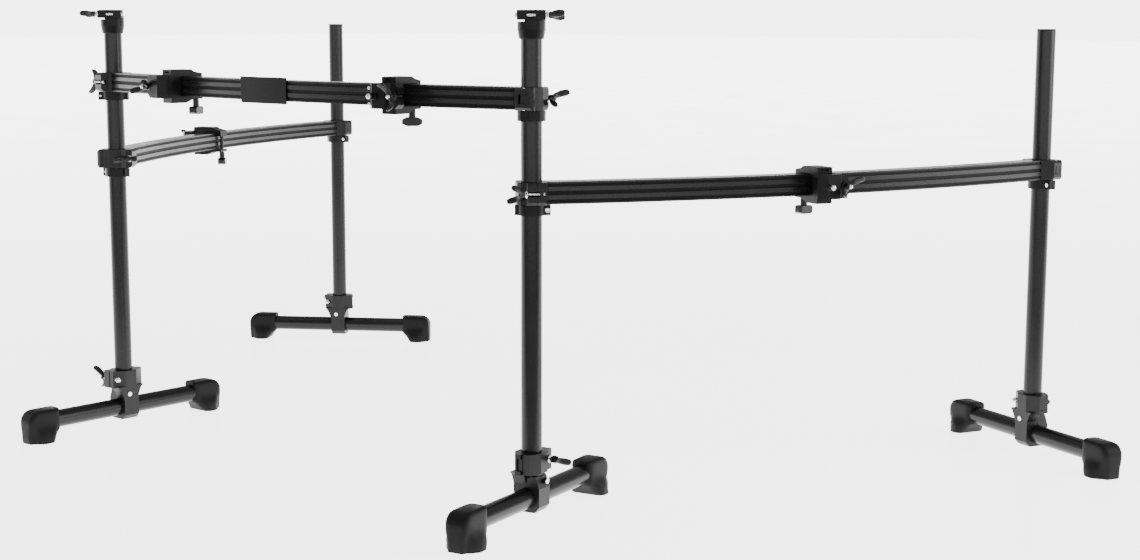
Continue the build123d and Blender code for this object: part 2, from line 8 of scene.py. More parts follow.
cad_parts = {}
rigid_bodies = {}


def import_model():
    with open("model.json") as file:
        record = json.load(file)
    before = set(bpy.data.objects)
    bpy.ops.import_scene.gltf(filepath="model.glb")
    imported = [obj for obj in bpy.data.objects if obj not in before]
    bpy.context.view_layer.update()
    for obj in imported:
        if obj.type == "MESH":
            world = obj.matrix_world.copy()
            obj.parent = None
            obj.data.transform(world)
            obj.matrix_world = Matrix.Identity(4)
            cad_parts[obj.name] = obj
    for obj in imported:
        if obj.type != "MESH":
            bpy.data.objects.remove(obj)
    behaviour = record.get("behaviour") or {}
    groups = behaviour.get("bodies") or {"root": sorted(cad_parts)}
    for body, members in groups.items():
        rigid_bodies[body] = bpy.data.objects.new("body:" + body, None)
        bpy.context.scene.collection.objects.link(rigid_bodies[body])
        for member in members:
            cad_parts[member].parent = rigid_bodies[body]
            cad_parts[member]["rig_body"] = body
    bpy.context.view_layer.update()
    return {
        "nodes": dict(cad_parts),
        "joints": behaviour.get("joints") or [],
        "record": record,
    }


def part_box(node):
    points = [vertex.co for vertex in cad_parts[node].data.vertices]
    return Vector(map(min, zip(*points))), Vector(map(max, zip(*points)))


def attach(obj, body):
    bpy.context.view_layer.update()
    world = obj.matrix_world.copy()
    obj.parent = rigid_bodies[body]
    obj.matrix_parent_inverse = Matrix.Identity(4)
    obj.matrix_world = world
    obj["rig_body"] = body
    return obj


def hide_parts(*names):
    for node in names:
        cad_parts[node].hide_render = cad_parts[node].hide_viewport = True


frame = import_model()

# Looks for the drum rack. Metres; +X along the front rail, +Y towards the player, +Z up.
JOINTS = {joint["name"]: joint for joint in frame["joints"]}
BODY_OF = {node: obj["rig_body"] for node, obj in frame["nodes"].items()}
MM = 0.001


# ---- node helpers for materials ----
class Shader:
    """A node tree and a short way to add and join its nodes."""

    def __init__(self, tree):
        self.nodes, self.links = tree.nodes, tree.links

    def add(self, kind, inputs=None, **settings):
        node = self.nodes.new(kind)
        for key, value in settings.items():
            setattr(node, key, value)
        for key, value in (inputs or {}).items():
            if isinstance(value, bpy.types.NodeSocket):
                self.links.new(value, node.inputs[key])
            else:
                node.inputs[key].default_value = value
        return node

    def noise(self, scale, detail=4.0, rough=0.55, stretch=(1, 1, 1)):
        where = self.add("ShaderNodeTexCoord").outputs["Object"]
        mapped = self.add("ShaderNodeMapping", {"Vector": where, "Scale": stretch})
        inputs = {"Vector": mapped.outputs[0], "Scale": scale, "Detail": detail, "Roughness": rough}
        return self.add("ShaderNodeTexNoise", inputs).outputs["Fac"]

    def ramp(self, value, low, high, to_low, to_high):
        node = self.add("ShaderNodeMapRange", {"Value": value, "From Min": low, "From Max": high,
                                               "To Min": to_low, "To Max": to_high})
        return node.outputs["Result"]

    def math(self, operation, a, b):
        return self.add("ShaderNodeMath", {0: a, 1: b}, operation=operation).outputs[0]

    def mix(self, factor, a, b):
        node = self.nodes.new("ShaderNodeMix")
        node.data_type = "RGBA"
        for socket, value in ((node.inputs[0], factor), (node.inputs[6], a), (node.inputs[7], b)):
            if isinstance(value, bpy.types.NodeSocket):
                self.links.new(value, socket)
            else:
                socket.default_value = value if isinstance(value, float) else (*value, 1.0)
        return node.outputs[2]

    def edges(self, radius):
        """0 on flats and 1 on sharp edges."""
        soft = self.add("ShaderNodeBevel", {"Radius": radius}, samples=4)
        hard = self.add("ShaderNodeNewGeometry").outputs["Normal"]
        dot = self.add("ShaderNodeVectorMath", {0: soft.outputs[0], 1: hard}, operation="DOT_PRODUCT")
        return self.ramp(dot.outputs["Value"], 0.995, 0.80, 0.0, 1.0), soft.outputs[0]


def new_material(name):
    """A new material, the helper for its node tree, and the inputs of its main shader."""
    mat = bpy.data.materials.new(name)
    mat.use_nodes = True
    s = Shader(mat.node_tree)
    return mat, s, s.nodes["Principled BSDF"].inputs


rail_low, rail_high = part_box("front_rail")
FRONT_RAIL_Z = (rail_low.z + rail_high.z) / 2
rail_low, rail_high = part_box("right_rail")
SIDE_RAIL_Z = (rail_low.z + rail_high.z) / 2
# The grooves' edges, as distances from a rail's centre line, and half the width of their fading, in metres.
MIDDLE_GROOVE_END = 0.0036
OUTER_GROOVE_START, OUTER_GROOVE_END = 0.0114, 0.0171
GROOVE_FADE = 0.0006


def flute_mask(s):
    """1 inside the rails' grooves and 0 on their ribs, from the height above the rail's centre line."""
    where = s.add("ShaderNodeTexCoord").outputs["Object"]
    z = s.add("ShaderNodeSeparateXYZ", {0: where}).outputs["Z"]
    front = s.math("ABSOLUTE", s.math("SUBTRACT", z, FRONT_RAIL_Z), 0.0)
    side = s.math("ABSOLUTE", s.math("SUBTRACT", z, SIDE_RAIL_Z), 0.0)
    off = s.math("MINIMUM", front, side)

    def step(edge, to_low, to_high):
        return s.ramp(off, edge - GROOVE_FADE, edge + GROOVE_FADE, to_low, to_high)

    middle = step(MIDDLE_GROOVE_END, 1.0, 0.0)
    outer = s.math("MULTIPLY", step(OUTER_GROOVE_START, 0.0, 1.0), step(OUTER_GROOVE_END, 1.0, 0.0))
    return s.math("MAXIMUM", middle, outer)


# Inside the grooves the gloss is rougher and the reflection is dimmed, a painted shade in the recesses.
GROOVE_ROUGHER, GROOVE_SHADE_SPECULAR = 0.25, 0.30


def finish_material(name, color, rough, metallic=0.0, specular=0.5, fleck=0.25, grain=900.0,
                    grain_height=0.00006, stretch=(1, 1, 1), worn=(0.16, 0.16, 0.165), wear=0.35,
                    edge=0.0006, smudge=0.08, fluted=False):
    """A coated, moulded or bare surface with tone, gloss and relief that vary, and edges rubbed lighter."""
    mat, s, main = new_material(name)
    cloud = s.noise(9.0, 5.0)
    fine = s.noise(grain, 3.0, 0.6, stretch)
    mid = s.noise(grain / 9, 4.0, 0.6, stretch)
    dark = tuple(c * (1 - fleck) for c in color)
    light = tuple(min(1.0, c * (1 + fleck)) for c in color)
    lightest = tuple(min(1.0, c * 1.5) for c in color)
    tone = s.mix(s.ramp(cloud, 0.35, 0.65, 0.0, 1.0), dark, light)
    speck = s.mix(s.ramp(fine, 0.45, 0.75, 0.0, 0.5), tone, lightest)
    rim, bevelled = s.edges(edge)
    rub = s.math("MULTIPLY", rim, s.ramp(mid, 0.40, 0.62, 0.0, wear))
    s.links.new(s.mix(rub, speck, worn), main["Base Color"])
    broad = s.ramp(cloud, 0.3, 0.7, rough - smudge, rough + smudge)
    gloss = s.math("ADD", broad, s.ramp(mid, 0.3, 0.7, -0.02, 0.02))
    if fluted:
        # painted shade: the grooves reflect less than the ribs, standing in for shade in the recesses
        groove = flute_mask(s)
        gloss = s.math("ADD", gloss, s.math("MULTIPLY", groove, GROOVE_ROUGHER))
        groove_painted_shade = s.ramp(groove, 0.0, 1.0, specular, specular * GROOVE_SHADE_SPECULAR)
        s.links.new(groove_painted_shade, main["Specular IOR Level"])
    else:
        main["Specular IOR Level"].default_value = specular
    s.links.new(gloss, main["Roughness"])
    main["Metallic"].default_value = metallic
    relief = s.math("ADD", fine, s.math("MULTIPLY", mid, 0.6))
    bump = s.add("ShaderNodeBump", {"Height": relief, "Distance": grain_height, "Strength": 0.8,
                                    "Normal": bevelled})
    s.links.new(bump.outputs[0], main["Normal"])
    return mat


MATERIALS = {
    "post_coat": finish_material(
        "post_coat", (0.0050, 0.0050, 0.0053), 0.22, specular=0.19, grain=2200.0,
        grain_height=0.000006, wear=0.3, worn=(0.05, 0.05, 0.052), smudge=0.03),
    "rail_coat": finish_material(
        "rail_coat", (0.0060, 0.0060, 0.0065), 0.28, specular=0.26, grain=1100.0,
        grain_height=0.00001, wear=0.35, worn=(0.07, 0.07, 0.073), stretch=(1, 1, 0.3),
        fluted=True, smudge=0.04),
    "clamp_plastic": finish_material(
        "clamp_plastic", (0.0028, 0.0028, 0.0030), 0.36, specular=0.13, grain=1600.0,
        grain_height=0.00006, edge=0.0010, wear=0.3, worn=(0.03, 0.03, 0.031)),
    "clamp_metal": finish_material(
        "clamp_metal", (0.0034, 0.0034, 0.0036), 0.37, specular=0.20, grain=1500.0,
        grain_height=0.00005, edge=0.0010, wear=0.3, worn=(0.04, 0.04, 0.041)),
    "wing_metal": finish_material(
        "wing_metal", (0.0045, 0.0045, 0.0048), 0.33, specular=0.25, grain=1200.0,
        edge=0.0010, wear=0.3, worn=(0.05, 0.05, 0.05)),
    "foot_rubber": finish_material(
        "foot_rubber", (0.0035, 0.0035, 0.0037), 0.50, specular=0.10, grain=1300.0,
        grain_height=0.00010, edge=0.0015, wear=0.25, worn=(0.02, 0.02, 0.021)),
    "bright_steel": finish_material(
        "bright_steel", (0.62, 0.62, 0.63), 0.20, metallic=1.0, fleck=0.08, grain=700.0,
        grain_height=0.00002, worn=(0.8, 0.8, 0.8), stretch=(1, 1, 6)),
    "badge_enamel": finish_material(
        "badge_enamel", (0.0022, 0.0022, 0.0025), 0.30, specular=0.10, smudge=0.04,
        grain_height=0.000005),
}
SLOT_OF = {part["node"]: part["material_slot"] for part in frame["record"]["subparts"]}
for node, obj in frame["nodes"].items():
    obj.data.materials.clear()
    obj.data.materials.append(MATERIALS[SLOT_OF[node]])


# ---- local frames of the clamps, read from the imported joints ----
UP = Vector((0, 0, 1))


def upright_frame(origin, x_axis):
    """A frame at origin with +Z up and local X along x_axis."""
    x = Vector((x_axis.x, x_axis.y, 0)).normalized()
    y = UP.cross(x)
    return Matrix.Translation(origin) @ Matrix((x, y, UP)).transposed().to_4x4()


def post_axis(name):
    return Vector(JOINTS[f"leg_turn_{name}"]["pos_m"])


def aim_frame(origin, z_axis, x_hint):
    """A frame at origin whose local Z is z_axis and whose local X is nearest x_hint."""
    z = z_axis.normalized()
    x = (x_hint - z * x_hint.dot(z)).normalized()
    return Matrix.Translation(origin) @ Matrix((x, z.cross(x), z)).transposed().to_4x4()


def node_points(node):
    return [v.co for v in frame["nodes"][node].data.vertices]


# ---- mesh helpers ----
def new_object(name, verts, faces, material, body, smooth=35.0, bevel=0.0):
    mesh = bpy.data.meshes.new(name)
    mesh.from_pydata([tuple(v) for v in verts], [], faces)
    mesh.validate()
    mesh.update()
    work = bmesh.new()
    work.from_mesh(mesh)
    bmesh.ops.remove_doubles(work, verts=work.verts, dist=1e-7)
    bmesh.ops.recalc_face_normals(work, faces=work.faces)
    work.to_mesh(mesh)
    work.free()
    mesh.materials.append(MATERIALS[material])
    obj = bpy.data.objects.new(name, mesh)
    bpy.context.scene.collection.objects.link(obj)
    if bevel:
        rounding = obj.modifiers.new("rounding", "BEVEL")
        rounding.width, rounding.segments = bevel, 3
        rounding.limit_method, rounding.angle_limit = "ANGLE", math.radians(32)
        rounding.harden_normals = False
    for face in mesh.polygons:
        face.use_smooth = True
    bpy.context.view_layer.objects.active = obj
    mesh.set_sharp_from_angle(angle=math.radians(smooth))
    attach(obj, body)
    return obj


class Build:
    """Vertices and faces of one piece, gathered from several shapes, in millimetres."""

    def __init__(self, matrix):
        self.matrix = matrix
        self.verts, self.faces = [], []

    def add(self, verts, faces, local=None):
        base = len(self.verts)
        place = self.matrix @ local if local is not None else self.matrix
        self.verts += [place @ (Vector(v) * MM) for v in verts]
        self.faces += [tuple(i + base for i in face) for face in faces]

    def lathe(self, profile, sides=32, local=None, ripple=None):
        """Turns (radius, height) points about local Z."""
        verts, faces = [], []
        for k, (radius, height) in enumerate(profile):
            for i in range(sides):
                a = math.tau * i / sides
                r = radius * (ripple(a, k) if ripple else 1.0)
                verts.append((r * math.cos(a), r * math.sin(a), height))
        rows = len(profile)
        for k in range(rows - 1):
            for i in range(sides):
                j = (i + 1) % sides
                faces.append((k * sides + i, k * sides + j, (k + 1) * sides + j, (k + 1) * sides + i))
        faces.append(tuple(range(sides - 1, -1, -1)))
        faces.append(tuple((rows - 1) * sides + i for i in range(sides)))
        self.add(verts, faces, local)

    def rings(self, rings, local=None):
        """Skins closed rings of equal length and caps both ends."""
        sides = len(rings[0])
        verts = [v for ring in rings for v in ring]
        faces = []
        for k in range(len(rings) - 1):
            for i in range(sides):
                j = (i + 1) % sides
                faces.append((k * sides + i, k * sides + j, (k + 1) * sides + j, (k + 1) * sides + i))
        faces.append(tuple(range(sides - 1, -1, -1)))
        faces.append(tuple((len(rings) - 1) * sides + i for i in range(sides)))
        self.add(verts, faces, local)

    def slab(self, outline, low, high, local=None):
        """A polygon in X and Y between two heights."""
        n = len(outline)
        verts = [(x, y, low) for x, y in outline] + [(x, y, high) for x, y in outline]
        faces = [tuple(range(n - 1, -1, -1)), tuple(range(n, 2 * n))]
        faces += [(i, (i + 1) % n, n + (i + 1) % n, n + i) for i in range(n)]
        self.add(verts, faces, local)

    def make(self, name, material, body, smooth=35.0, bevel=0.0):
        return new_object(name, self.verts, self.faces, material, body, smooth, bevel * MM)


def turn(degrees, axis):
    return Matrix.Rotation(math.radians(degrees), 4, axis)


def shift(x, y, z):
    return Matrix.Translation(Vector((x, y, z)) * MM)


# ---- rubber feet ----
# Heights of a foot's level sections and of its features, in millimetres, for a foot FOOT_HEIGHT high.
FOOT_HEIGHT, FOOT_SIDES = 70.0, 72
FOOT_LEVELS = [0.0, 0.8, 2.5, 6, 10, 14, 18, 22, 26, 30, 34, 38, 42, 46, 50, 54, 58, 61, 64, 66.5, 68.3,
               69.4, 70.0]
TOE_HEIGHT, TOE_LENGTH = 24, 22.0       # the paw's inner end slopes in over this height and length
HEEL_START, HEEL_RADIUS = 45, 25        # the outer end rounds over above this height
SOLE_EDGE, SOLE_EDGE_HEIGHT = 1.5, 12.0  # the outer end draws in toward the floor
CROWN_START, CROWN_RADIUS = 64, 6
FLARE_AT, FLARE_SOFT = 27, 4.5          # where the hood widens into the paws
HOOD_HALF, PAW_EXTRA = 23.5, 12.5       # half widths
PAW_AT, PAW_LENGTH = 0.50, 0.30         # along the foot, from 0 at its inner end to 1 at its outer end
NARROW_AT, NARROW_SOFT, NARROW_BY = 0.80, 0.025, 0.22
SHOULDER_START, SHOULDER_CURVE = 52, 0.006
END_SQUARENESS, SIDE_SQUARENESS = 0.32, 0.36
SOLE_TUCK_X, SOLE_TUCK_Y = 0.965, 0.955
SCALLOPS, SCALLOP_HEIGHT = 6, 0.36


def power_round(value, exponent):
    """A cosine or sine pushed outward, so that an ellipse made of it turns toward a rectangle."""
    return math.copysign(abs(value) ** exponent, value)


def foot_rings(inner, outer, top):
    """Level sections of a foot from the floor up: flared paws at the sole, a narrow hood round the tube."""
    rings = []
    for z in FOOT_LEVELS:
        high = z * top / FOOT_HEIGHT
        x_in = inner
        if z <= TOE_HEIGHT:
            x_in += TOE_LENGTH * (1 - z / TOE_HEIGHT) ** 0.8
        if z > HEEL_START:
            drop = math.sqrt(max(0.0, HEEL_RADIUS ** 2 - (z - HEEL_START) ** 2))
            x_out = outer - (HEEL_RADIUS - drop)
        else:
            x_out = outer - SOLE_EDGE * (1 - min(1.0, z / SOLE_EDGE_HEIGHT))
        above_crown = max(0.0, z - CROWN_START)
        crown = CROWN_RADIUS - math.sqrt(max(0.0, CROWN_RADIUS ** 2 - above_crown ** 2))
        flare = 1 / (1 + math.exp((z - FLARE_AT) / FLARE_SOFT))
        middle, reach = (x_in + x_out) / 2, (x_out - x_in) / 2
        ring = []
        for i in range(FOOT_SIDES):
            a = math.tau * i / FOOT_SIDES
            x = middle + reach * power_round(math.cos(a), END_SQUARENESS)
            along = (x - inner) / (outer - inner)
            paw = math.exp(-((along - PAW_AT) / PAW_LENGTH) ** 4)
            narrow = 1 - NARROW_BY * flare / (1 + math.exp((NARROW_AT - along) / NARROW_SOFT))
            half = (HOOD_HALF - crown + PAW_EXTRA * flare * paw) * narrow
            if z > SHOULDER_START:
                half -= SHOULDER_CURVE * (z - SHOULDER_START) ** 2
            y = half * power_round(math.sin(a), SIDE_SQUARENESS)
            rise = 0.0
            if z == 0:
                rise = SCALLOP_HEIGHT * (0.5 + 0.5 * math.cos(SCALLOPS * a))
                x = middle + (x - middle) * SOLE_TUCK_X
                y *= SOLE_TUCK_Y
            ring.append((x, y, high + rise))
        rings.append(ring)
    return rings


def build_feet(name):
    body = f"leg_{name}"
    axis = Vector(JOINTS[f"leg_wing_turn_{name}"]["axis"])
    centre = post_axis(name)
    centre.z = 0
    base = upright_frame(centre, axis.cross(UP))
    points = [base.inverted() @ p for p in node_points(f"leg_feet_{name}")]
    outer = max(p.x for p in points) / MM
    inner = min(abs(p.x) for p in points) / MM
    top = max(p.z for p in points) / MM
    for side, angle in (("near", 0), ("far", 180)):
        piece = Build(base @ turn(angle, "Z"))
        piece.rings(foot_rings(inner, outer, top))
        obj = piece.make(f"foot_{name}_{side}", "foot_rubber", body, smooth=50)
        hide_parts(f"leg_feet_{name}")


# ---- wing screws ----
# Distance out and height of a blade's middle line, with its half thickness and half width there.
BLADE_PATH = [(3.5, 11.0, 4.6, 4.2), (7.5, 11.8, 3.9, 4.8), (11.5, 13.6, 3.2, 5.5), (15.3, 16.4, 2.8, 5.9),
              (18.6, 19.8, 2.6, 6.2), (21.3, 23.6, 2.6, 6.2), (23.3, 27.4, 2.5, 5.8), (24.6, 30.4, 2.2, 5.0),
              (25.3, 32.6, 1.4, 3.0)]
BLADE_SIDES, BLADE_THICK_POWER, BLADE_WIDE_POWER = 24, 0.7, 0.6
HOLE_AT, HOLE_LEAN = (21.9, 24.8), 117
HOLE_RIM = [(3.3, 2.0), (3.3, 2.8), (2.8, 3.1), (2.1, 2.9), (1.9, 1.8)]
HEAD_HEIGHT = 34                        # from the bearing face to the tips of the blades
HUB = [(4.4, 5.0), (5.6, 5.2), (6.3, 6.2), (6.3, 14.0), (5.9, 15.8), (4.6, 16.8), (2.0, 17.1)]
THREAD_CREST, THREAD_ROOT, THREAD_PITCH, THREAD_END = 3.95, 3.45, 1.25, -1.4
WASHER = [(3.9, -0.6), (3.9, 0.3), (6.9, 0.35), (7.4, 0.8), (7.4, 1.7), (6.6, 2.6), (5.5, 3.4), (5.3, 4.9),
          (4.5, 5.05)]
SCREW_END = [(3.6, 16.4), (3.9, 17.0), (3.9, 19.6), (3.4, 21.0), (2.2, 21.9), (0.9, 22.2)]


def blade_rings(side):
    """Sections across one blade along BLADE_PATH, on local +X or -X."""
    rings = []
    for k, (r, z, thick, wide) in enumerate(BLADE_PATH):
        before, after = BLADE_PATH[max(0, k - 1)], BLADE_PATH[min(len(BLADE_PATH) - 1, k + 1)]
        run = Vector((after[0] - before[0], after[1] - before[1])).normalized()
        ring = []
        for i in range(BLADE_SIDES):
            a = math.tau * i / BLADE_SIDES
            u = power_round(math.cos(a), BLADE_THICK_POWER) * thick
            v = power_round(math.sin(a), BLADE_WIDE_POWER) * wide
            ring.append((side * (r + run.y * u), v, z - run.x * u))
        rings.append(ring)
    return rings


def screw_profile(length):
    """A threaded shank from its tip, at the negative height length, up to its washer."""
    profile = [(2.4, length), (3.9, length + 1.0)]
    z = length + 1.2
    while z < THREAD_END:
        profile += [(THREAD_CREST, z), (THREAD_CREST, z + 0.35)]
        profile += [(THREAD_ROOT, z + 0.75), (THREAD_ROOT, z + 0.95)]
        z += THREAD_PITCH
    return profile + WASHER


def wing_parts(name, joint, body):
    axis = Vector(JOINTS[joint]["axis"])
    origin = Vector(JOINTS[joint]["pos_m"])
    points = [p - origin for p in node_points(name)]
    tip = max(p.dot(axis) for p in points)
    far = max(points, key=lambda p: (p - axis * p.dot(axis)).length)
    tail = min(p.dot(axis) for p in points)
    face = tip - HEAD_HEIGHT * MM
    place = aim_frame(origin + axis * face, axis, far)
    head = Build(place)
    head.lathe(HUB, 28)
    for side in (1, -1):
        head.rings(blade_rings(side))
        for lean in (HOLE_LEAN, HOLE_LEAN - 180):
            head.lathe(HOLE_RIM, 18, shift(side * HOLE_AT[0], 0, HOLE_AT[1]) @ turn(side * lean, "Y"))
    obj = head.make(f"{name}_head", "wing_metal", body, smooth=45)
    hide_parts(name)
    screw = Build(place)
    screw.lathe(screw_profile((tail - face) / MM), 28)
    metal, finish = ("wing_metal", "wing_metal") if "accessory" in name else ("bright_steel", "screw_steel")
    screw.make(f"{name}_screw", metal, body, smooth=40)
    if "accessory" in name:
        end = Build(place)
        end.lathe(SCREW_END, 24)
        end.make(f"{name}_end", "bright_steel", body)


def build_wings():
    for joint in JOINTS.values():
        body = joint["child"]
        members = [n for n, b in BODY_OF.items() if b == body]
        if "wing" in joint["name"] and joint.get("continuous"):
            wing_parts(members[0], joint["name"], body)


# ---- bright screws and nuts ----
def cap_screw(matrix, radius, height, name, body, sides=0):
    """A domed screw head with a hexagon socket, or a hexagon nut with a domed end when sides is 6."""
    piece = Build(matrix)
    if sides:
        piece.lathe([(radius, 0), (radius, height - 0.5), (radius * 0.93, height)], sides)
        bolt = radius * 0.58
        piece.lathe([(bolt, height - 0.2), (bolt, height + 0.9), (radius * 0.3, height + 1.3)], 20)
    else:
        piece.lathe([(radius, 0), (radius, height * 0.55), (radius * 0.93, height * 0.85),
                     (radius * 0.75, height), (radius * 0.52, height)], 28)
        piece.lathe([(radius * 0.50, height + 0.05), (radius * 0.50, height * 0.4)], 6)
    return piece.make(name, "bright_steel", body, smooth=30)


def turned(matrix, profile, sides, name, material, body):
    """One piece turned about the local Z of matrix."""
    piece = Build(matrix)
    piece.lathe(profile, sides)
    piece.make(name, material, body)


KNOB_OUT = 25                           # from the bracket's middle out to the knob's joint
LUG_START, LUG_END = 32, 45             # distances of a collar's lug from the post's axis
LOCK_DROP = 30.5                        # a collar's screw below its clamp's wing screw


def rail_clamp_frame(side, post_name):
    joint = JOINTS[f"{side}_wing_turn_{post_name}"]
    origin = post_axis(post_name)
    origin.z = joint["pos_m"][2]
    return upright_frame(origin, -Vector(joint["axis"]))


def leg_frame(name):
    origin = post_axis(name)
    origin.z = 0
    return upright_frame(origin, Vector(JOINTS[f"leg_wing_turn_{name}"]["axis"]).cross(UP))


def accessory_frame(name):
    joint = JOINTS[f"accessory_wing_turn_{name}"]
    y = -Vector(joint["axis"])
    origin = Vector(JOINTS[f"accessory_knob_turn_{name}"]["pos_m"]) - y * KNOB_OUT * MM
    origin.z = joint["pos_m"][2]
    return upright_frame(origin, y.cross(UP)), joint


def lock_frame(side, post_name, node):
    """A collar's frame: its screw crosses the lug on local -Y."""
    axis = post_axis(post_name)
    near = [p - axis for p in node_points(node) if (p.xy - axis.xy).length < LUG_END * MM]
    far = [p for p in near if p.xy.length > LUG_START * MM]
    lug = sum(far, Vector()) / len(far)
    origin = axis.copy()
    origin.z = JOINTS[f"{side}_wing_turn_{post_name}"]["pos_m"][2] - LOCK_DROP * MM
    return upright_frame(origin, UP.cross(lug))


RAIL_ENDS = (("front", "front_left"), ("front", "front_right"), ("right", "front_right"),
             ("right", "back_right"), ("left", "back_left"), ("left", "front_left"))
LEG_POSTS = ("front_left", "front_right", "back_right", "back_left")
ACCESSORIES = ("front_left", "front_right", "right", "left")

# Places of the small pieces, in millimetres, in the frame of the clamp that holds each.
LOCK_SCREW_AT, LOCK_LUG_WIDTH = (-8.6, -29, 0), 16.7
BARREL_NUT_AT, HINGE_PIN_AT = (11, -32, 0), (-3, 32.5, 0)
CROSS_NUT_AT, CROSS_HEAD_AT, RING_NUT_AT = (-5, 29, 74), (-5, -27, 74), (-31, -18.5, 108)
STUD_AT, STUD_TIP_AT = (-11, -75, 0), (-11, -87, 0)
JAW_SCREW_OUT, JAW_SCREW_Z = (-24.5, -69.0), 14.5
EAR_OUT, EAR_AHEAD, EAR_HALF = 16.6, -25.6, 1.2

# Turned shapes and one outline, as (radius, height) or (x, y).
BARREL_NUT = [(4.2, -10.6), (5.15, -10.2), (5.15, 10.2), (4.2, 10.6), (2.0, 10.7)]
HINGE_PIN = [(2.2, -19.9), (2.75, -19.2), (2.75, 19.2), (2.2, 19.9), (1.0, 20.0)]
STUD_COLLAR = [(7.0, -2.0), (7.0, 1.2), (5.6, 1.6), (5.6, 9.4), (6.6, 9.8), (6.6, 11.6), (5.8, 12.2)]
STUD_TIP = [(4.9, -0.5), (4.9, 1.6), (4.5, 3.0), (3.4, 4.2), (1.6, 4.9)]
EAR = [(-8.4, -7.4), (-7.6, -8.2), (7.6, -8.2), (8.4, -7.4), (8.4, 7.6), (7.6, 8.4), (-7.6, 8.4),
       (-8.4, 7.6)]


def rail_end_screws(side, post_name):
    """The collar's screw and nut, and the clamp's barrel nut and hinge pin."""
    end = f"{side}_{post_name}"
    lock = "front_memory_locks" if side == "front" else f"{side}_memory_lock_{post_name}"
    body = BODY_OF[lock]
    low = lock_frame(side, post_name, lock) @ shift(*LOCK_SCREW_AT)
    cap_screw(low @ turn(-90, "Y"), 4.6, 1.4, f"lock_screw_{end}", body)
    cap_screw(low @ shift(LOCK_LUG_WIDTH, 0, 0) @ turn(90, "Y"), 4.2, 1.2, f"lock_nut_{end}", body, 6)
    place = rail_clamp_frame(side, post_name)
    clamp = BODY_OF["front_clamp_bodies" if side == "front" else f"{side}_rail_clamps"]
    turned(place @ shift(*BARREL_NUT_AT), BARREL_NUT, 26, f"barrel_nut_{end}", "clamp_metal", clamp)
    turned(place @ shift(*HINGE_PIN_AT), HINGE_PIN, 22, f"hinge_pin_{end}", "bright_steel", clamp)


def leg_screws(name):
    place, body = leg_frame(name), f"leg_{name}"
    cap_screw(place @ shift(*CROSS_NUT_AT) @ turn(-90, "X"), 5.6, 2.6, f"cross_nut_{name}", body)
    cap_screw(place @ shift(*CROSS_HEAD_AT) @ turn(90, "X"), 5.4, 1.4, f"cross_head_{name}", body)
    cap_screw(place @ shift(*RING_NUT_AT) @ turn(90, "X"), 6.0, 3.0, f"ring_nut_{name}", body, 6)


def accessory_screws(name):
    """A stud on each clamp whose wing screw is on local +X, and two jaw screws on the front right one."""
    place, joint = accessory_frame(name)
    body = joint["parent"]
    outward = turn(90, "X")
    if (place.inverted() @ Vector(joint["pos_m"])).x > 0:
        turned(place @ shift(*STUD_AT) @ outward, STUD_COLLAR, 30, f"stud_collar_{name}",
               "clamp_metal", body)
        turned(place @ shift(*STUD_TIP_AT) @ outward, STUD_TIP, 26, f"stud_tip_{name}",
               "bright_steel", body)
    if name == "front_right":
        for label, z in (("low", -JAW_SCREW_Z), ("high", JAW_SCREW_Z)):
            screw = place @ shift(*JAW_SCREW_OUT, z) @ outward
            cap_screw(screw, 3.2, 1.6, f"jaw_screw_{name}_{label}", body)


def top_ears(side):
    """The two pads on the split of one top clamp."""
    joint = JOINTS[f"top_wing_turn_{side}"]
    origin = post_axis(side)
    origin.z = joint["pos_m"][2]
    across = Vector(joint["axis"]) * (1 if side == "front_right" else -1)
    place = upright_frame(origin, across)
    for label, sign in (("out", 1), ("in", -1)):
        pad = Build(place @ shift(sign * EAR_OUT, EAR_AHEAD, 0) @ turn(90, "X"))
        pad.slab(EAR, -EAR_HALF, EAR_HALF)
        pad.make(f"top_ear_{side}_{label}", "clamp_plastic", BODY_OF["top_clamps"],
                 bevel=0.5)


build_wings()
for post_name in LEG_POSTS:
    build_feet(post_name)
for side, post_name in RAIL_ENDS:
    rail_end_screws(side, post_name)
for post_name in LEG_POSTS:
    leg_screws(post_name)
for name in ACCESSORIES:
    accessory_screws(name)
for side in ("front_left", "front_right"):
    top_ears(side)


# ---- camera ----
front = [Vector(JOINTS[f"leg_turn_front_{side}"]["pos_m"]) for side in ("left", "right")]
MIDDLE = (front[0] + front[1]) / 2
MIDDLE.z = 0.0

# Focal length and optical centre in the image's own picture elements, angles in radians, place in metres.
F_PX, CX_PX, CY_PX, WIDTH_PX, HEIGHT_PX = 1860.8, 556.5, 280.9, 1140, 560
YAW, PITCH, ROLL = -0.70422, -0.14268, 0.00161
CAMERA_FROM_MIDDLE = Vector((2.77325, -2.48452, 0.91235))
camera_data = bpy.data.cameras.new("camera")
camera_data.sensor_width = 36.0
camera_data.lens = F_PX / WIDTH_PX * camera_data.sensor_width
camera_data.shift_x = (WIDTH_PX / 2 - CX_PX) / WIDTH_PX
camera_data.shift_y = (CY_PX - HEIGHT_PX / 2) / WIDTH_PX
camera = bpy.data.objects.new("camera", camera_data)
bpy.context.scene.collection.objects.link(camera)
forward = Vector((math.sin(YAW) * math.cos(PITCH), math.cos(YAW) * math.cos(PITCH), math.sin(PITCH)))
level = Vector((math.cos(YAW), -math.sin(YAW), 0.0))
above = level.cross(forward)
right = level * math.cos(ROLL) + above * math.sin(ROLL)
up = above * math.cos(ROLL) - level * math.sin(ROLL)
facing = Matrix((right, up, -forward)).transposed().to_4x4()
camera.matrix_world = Matrix.Translation(MIDDLE + CAMERA_FROM_MIDDLE) @ facing
bpy.context.scene.camera = camera


# ---- stage: pale floor that glows as painted light, and soft studio light ----
FLOOR_GLOW, FLOOR_GLOW_BEHIND, SKY_GLOW, SKY_BEHIND, SKY_DIM = 3.6, 2.2, 5.2, 4.2, 0.6
FLOOR_HALF, FLOOR_DROP = 60, 0.0005


